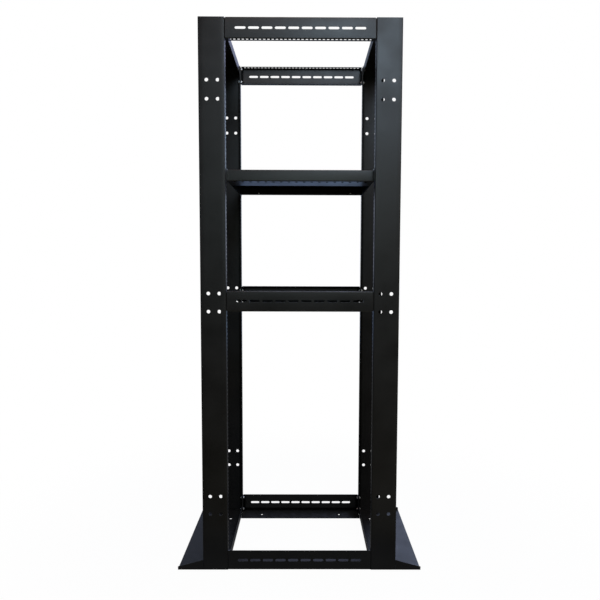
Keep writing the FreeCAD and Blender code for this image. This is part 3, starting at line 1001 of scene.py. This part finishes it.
finishes["bolt_zinc"] = zinc_plate("zinc_plated_bolt")
for piece in made:
    piece.data.materials.append(finishes[piece["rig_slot"]])
for subpart in frame["record"]["subparts"]:
    node = frame["nodes"][subpart["node"]]
    node.data.materials.clear()
    node.data.materials.append(finishes[subpart["material_slot"]])
print("Painted", len(made), "pieces with", len(finishes), "finishes")

# %% [markdown]
# ## Floor and surroundings
#
# The rack stands on white paper in front of a white wall, and both are plain white to the camera.
# The paper near the rack keeps a share of ordinary diffuse surface, so the rack's shadow stays on
# it. Further out the glow takes over, and paper and wall meet without a horizon. In gloss the
# paper counts for a small share only, a choice that keeps the black paint near the floor as dark
# as in the photo.

# %% Lay the floor
FLOOR_HALF_WIDTH = 7.0
FLOOR_NEAR = -0.48
FLOOR_FAR = 6.0
FLOOR_DROP = 0.0006
FLOOR_GLOW = 0.97
FLOOR_IN_GLOSS = 0.15
GLOW_FADE = (0.7, 1.8)
PAPER_TONE = (0.82, 0.82, 0.82, 1.0)


def seen_share(tree, gloss):
    """1 for camera and transmission rays, a given share for glossy rays and 0 for the rest."""
    path = tree.nodes.new("ShaderNodeLightPath")
    share = reckon(tree, "MULTIPLY", path.outputs["Is Glossy Ray"], gloss)
    for ray in ("Is Camera Ray", "Is Transmission Ray"):
        share = reckon(tree, "MAXIMUM", share, path.outputs[ray])
    return share


def white_paper():
    """White paper: a glow for the rays that see it, over a diffuse surface that takes shadow."""
    material, tree, shader, place = new_finish("white_paper_floor")
    tree.nodes.remove(shader)
    distance = tree.nodes.new("ShaderNodeVectorMath")
    distance.operation = "LENGTH"
    tree.links.new(place, distance.inputs[0])
    plain = tree.nodes.new("ShaderNodeBsdfDiffuse")
    plain.inputs["Color"].default_value = PAPER_TONE
    glow = tree.nodes.new("ShaderNodeEmission")
    tree.links.new(seen_share(tree, FLOOR_IN_GLOSS), glow.inputs["Strength"])
    glow_share = value_range(tree, distance.outputs["Value"], GLOW_FADE, (FLOOR_GLOW, 1.0))
    mix = tree.nodes.new("ShaderNodeMixShader")
    tree.links.new(glow_share, mix.inputs["Fac"])
    tree.links.new(plain.outputs["BSDF"], mix.inputs[1])
    tree.links.new(glow.outputs["Emission"], mix.inputs[2])
    tree.links.new(mix.outputs["Shader"], tree.nodes["Material Output"].inputs["Surface"])
    return material


floor_corners = [(side * FLOOR_HALF_WIDTH, y, -FLOOR_DROP) for side, y in
                 ((-1, FLOOR_NEAR), (1, FLOOR_NEAR), (1, FLOOR_FAR), (-1, FLOOR_FAR))]
floor_mesh = bpy.data.meshes.new("floor")
floor_mesh.from_pydata(floor_corners, [], [(0, 1, 2, 3)])
floor = bpy.data.objects.new("floor", floor_mesh)
bpy.context.scene.collection.objects.link(floor)
floor.data.materials.append(white_paper())
print("Floor reaches from", FLOOR_NEAR, "to", FLOOR_FAR, "m")

# %% [markdown]
# What a glossy black panel shows is whatever lies opposite it. Most of the room in front of the
# rack is dim, which keeps the paint black; a warm patch hangs there on the right. Behind the rack
# pale bluish panels stand at several heights, brightest high on the right, and their glancing
# reflections edge the flanges and the feet. Each quarter of the room is a colour ramp over the
# height of a ray's direction, and two smooth steps join the four. Only rays from the camera, or
# through glass, see the white wall. Glossy rays see none of it and get this room in its place,
# with bands set so that the paint comes near the photo's tones.

# %% Surround it with a wall and a dim room
DIM = (0.01, 0.01, 0.01)
WHITE = (1.0, 1.0, 1.0, 1.0)
TO_RIGHT = (-0.2, 0.2)
TO_BACK = (-0.1, 0.2)
WALL_IN_GLOSS = 0.0

# Height of the ray's direction, from straight down at 0 to straight up at 1, and the colour there
WALLS = {
    "front_left": [(0.00, (0.36, 0.26, 0.04)), (0.36, DIM), (1.00, DIM)],
    "front_right": [(0.00, (1.42, 1.27, 0.96)), (0.36, DIM), (0.50, DIM),
                    (0.64, (1.77, 1.66, 1.45)), (1.00, DIM)],
    "back_left": [(0.33, DIM), (0.42, (0.46, 0.70, 1.30)), (0.48, (0.13, 0.16, 0.19)),
                  (0.525, (0.85, 0.90, 1.15)), (0.60, (0.76, 0.93, 1.20)), (0.75, DIM)],
    "back_right": [(0.33, DIM), (0.42, (0.41, 0.68, 1.18)), (0.48, (0.32, 0.35, 0.39)),
                   (0.525, (0.85, 0.90, 1.15)), (0.60, DIM), (0.75, (1.46, 1.55, 2.39)),
                   (1.00, DIM)],
}


def colour_ramp(tree, value, stops):
    """A colour ramp from pairs of place and colour."""
    node = tree.nodes.new("ShaderNodeValToRGB")
    elements = node.color_ramp.elements
    while len(elements) < len(stops):
        elements.new(1.0)
    for element, (place, colour) in zip(elements, stops):
        element.position = place
        element.color = (*colour, 1)
    tree.links.new(value, node.inputs["Fac"])
    return node.outputs["Color"]


world = bpy.data.worlds.new("studio")
bpy.context.scene.world = world
world.use_nodes = True
tree = world.node_tree
direction = tree.nodes.new("ShaderNodeTexCoord")
parts_of = tree.nodes.new("ShaderNodeSeparateXYZ")
tree.links.new(direction.outputs["Generated"], parts_of.inputs["Vector"])
upward = value_range(tree, parts_of.outputs["Z"], (-1.0, 1.0), kind="LINEAR")
ramps = {name: colour_ramp(tree, upward, stops) for name, stops in WALLS.items()}
to_right = value_range(tree, parts_of.outputs["X"], TO_RIGHT)
to_back = value_range(tree, parts_of.outputs["Y"], TO_BACK)
front = mix_colours(tree, to_right, ramps["front_left"], ramps["front_right"])
back = mix_colours(tree, to_right, ramps["back_left"], ramps["back_right"])
room = mix_colours(tree, to_back, front, back)
seen = mix_colours(tree, seen_share(tree, WALL_IN_GLOSS), room, WHITE)
tree.links.new(seen, tree.nodes["Background"].inputs["Color"])
print("Green of the wall behind, on the right:", [stop[1][1] for stop in WALLS["back_right"]])

# %% [markdown]
# ## Light
#
# Two soft cool lamps hang in front, high and to the right: the tops of the posts catch them and
# the feet stay dark. A weak one lower down lifts the middle, a warm one above brightens upward
# faces, and a cool one behind edges the feet. Cool and warm together are about neutral on white
# paper, and their level is the one at which a matt colour at the tops of the posts renders about
# as it is written; lower down it renders darker.

# %% Hang the lamps

# Name, place, target, width in metres, power in watts, colour
LAMPS = [
    ("key_lamp", (0.42, -2.6, 3.1), (0.0, 0.0, 1.4), 0.9, 32.3, (0.64, 0.85, 1.0)),
    ("right_lamp", (0.75, -2.6, 2.9), (0.0, 0.0, 1.4), 0.9, 13.9, (0.59, 0.73, 1.0)),
    ("low_lamp", (0.0, -2.6, 1.8), (0.0, 0.0, 1.4), 0.8, 6.3, (0.78, 1.0, 1.0)),
    ("top_lamp", (0.0, -1.2, 4.0), (0.0, 0.0, 1.0), 1.5, 31.0, (1.0, 0.66, 0.58)),
    ("back_lamp", (1.6, 3.0, 2.4), (0.0, 0.0, 1.0), 1.5, 26.0, (0.58, 0.76, 1.0)),
]


def placed_turn(across, up, back, place):
    """A matrix whose columns are an object's right, up and back directions and its place."""
    turn = np.eye(4)
    turn[:3] = np.stack([across, up, back, place], 1)
    return Matrix(turn.tolist())


def soft_lamp(name, place, target, size, power, colour):
    """A square area lamp that looks from its place straight at its target."""
    lamp = bpy.data.lights.new(name, "AREA")
    lamp.shape = "SQUARE"
    lamp.size = size
    lamp.energy = power
    lamp.color = colour
    ahead = np.array(target) - np.array(place)
    ahead /= np.linalg.norm(ahead)
    across = np.cross(ahead, (0.0, 0.0, 1.0))
    across /= np.linalg.norm(across)
    holder = bpy.data.objects.new(name, lamp)
    holder.matrix_world = placed_turn(across, np.cross(across, ahead), -ahead, place)
    bpy.context.scene.collection.objects.link(holder)


for lamp in LAMPS:
    soft_lamp(*lamp)
print("Lamps:", [lamp.name for lamp in bpy.data.lights])

# %% [markdown]
# ## Camera
#
# The camera's place, turn and lens come from a fit of the rack's edges: it stands a little over
# two metres from the side of the rack, at chest height, and looks slightly down.

# %% Set the camera
CAMERA_PLACE = (0.02095, -2.27058, 1.21008)
FOCAL_PIXELS = 523.71
FRAME_PIXELS = 600
CENTRE_SHIFT = 7.7
SENSOR = 36.0
YAW = math.radians(-0.2588)
PITCH = math.radians(3.7601)
ROLL = math.radians(0.1743)

ahead = np.array([-math.sin(YAW) * math.cos(PITCH), math.cos(YAW) * math.cos(PITCH),
                  -math.sin(PITCH)])
level = np.array([math.cos(YAW), math.sin(YAW), 0.0])
upright = np.cross(level, ahead)
lens = bpy.data.cameras.new("camera")
lens.sensor_fit = "HORIZONTAL"
lens.sensor_width = SENSOR
lens.lens = SENSOR * FOCAL_PIXELS / FRAME_PIXELS
lens.shift_x = -CENTRE_SHIFT / FRAME_PIXELS
camera = bpy.data.objects.new("camera", lens)
camera.matrix_world = placed_turn(math.cos(ROLL) * level + math.sin(ROLL) * upright,
                                  math.cos(ROLL) * upright - math.sin(ROLL) * level,
                                  -ahead, CAMERA_PLACE)
bpy.context.scene.collection.objects.link(camera)
bpy.context.scene.camera = camera
bpy.context.scene.view_settings.view_transform = "Standard"
print("Lens", round(lens.lens, 2), "mm")
